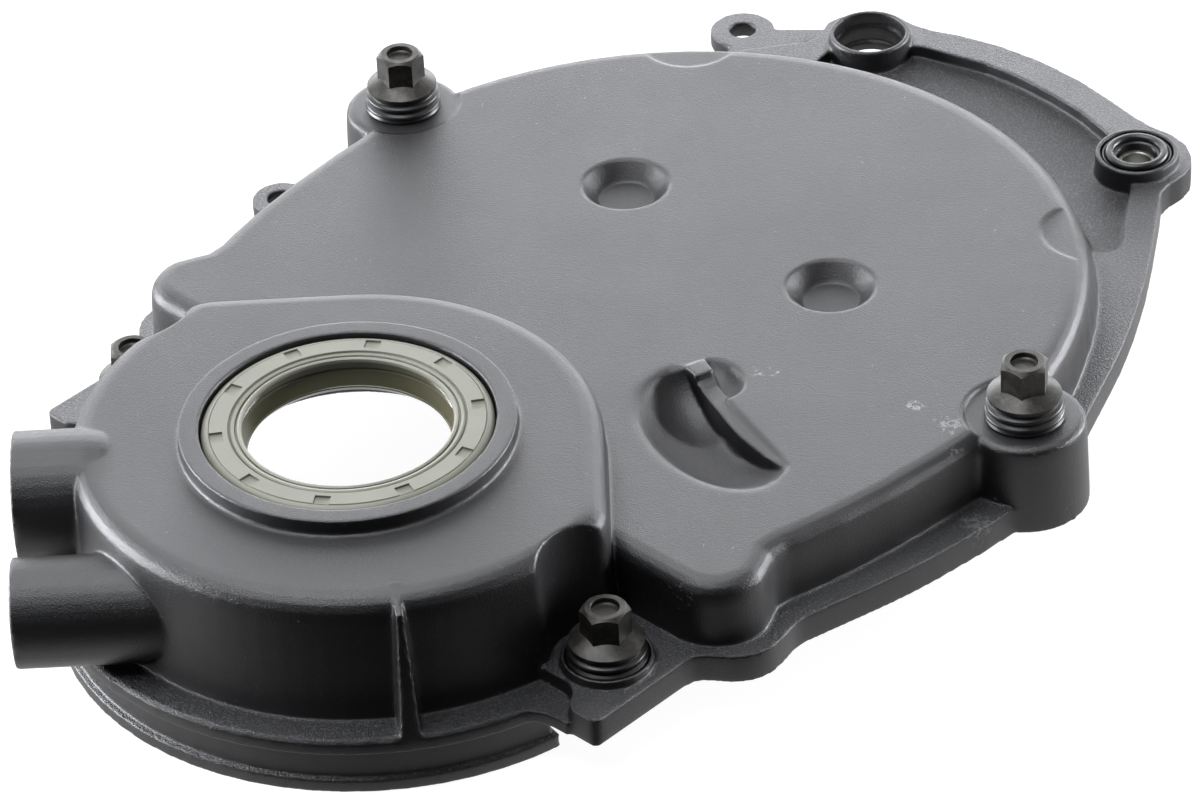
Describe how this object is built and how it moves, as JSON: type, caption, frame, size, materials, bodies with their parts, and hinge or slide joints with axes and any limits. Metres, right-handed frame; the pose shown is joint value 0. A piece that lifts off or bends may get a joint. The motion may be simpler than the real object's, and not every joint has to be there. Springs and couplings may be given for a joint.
{
  "type": "timing cover",
  "caption": "Moulded front timing cover of a V engine: low dome over the cam drive, round crank seal housing, bolt bosses with rubber isolators and a half-round oil pan skirt.",
  "frame": {"origin": "on the flat rear mounting face, on the cover's centreline under its top rail, 226 mm above the crank axis", "axes": "+Z out of the engine along the crank axis, +Y up the cover away from the crank seal, +X to its right-hand side seen from the front"},
  "size_m": [0.2359, 0.3349, 0.0507],
  "materials": {
    "moulded_nylon": "black glass-filled nylon, satin with a fine moulded grain",
    "seal_rubber": "olive-grey fluoroelastomer, satin",
    "black_rubber": "black nitrile rubber, satin",
    "gasket_rubber": "dark moulded gasket rubber",
    "phosphated_steel": "dark phosphated steel",
    "zinc_steel": "plain zinc-plated steel",
    "brass": "plain brass"
  },
  "bodies": {
    "root": {"cover_body": "moulded_nylon", "crank_seal": "seal_rubber", "seal_case": "zinc_steel", "garter_spring": "zinc_steel", "perimeter_gasket": "gasket_rubber", "threaded_insert": "brass", "bolt_lower_right": "phosphated_steel", "isolator_lower_right": "black_rubber", "sleeve_lower_right": "zinc_steel", "bolt_lower_left": "phosphated_steel", "isolator_lower_left": "black_rubber", "sleeve_lower_left": "zinc_steel", "bolt_side_right": "phosphated_steel", "isolator_side_right": "black_rubber", "sleeve_side_right": "zinc_steel", "bolt_side_left": "phosphated_steel", "isolator_side_left": "black_rubber", "sleeve_side_left": "zinc_steel", "isolator_top_right": "black_rubber", "sleeve_top_right": "zinc_steel"}
  },
  "joints": []
}
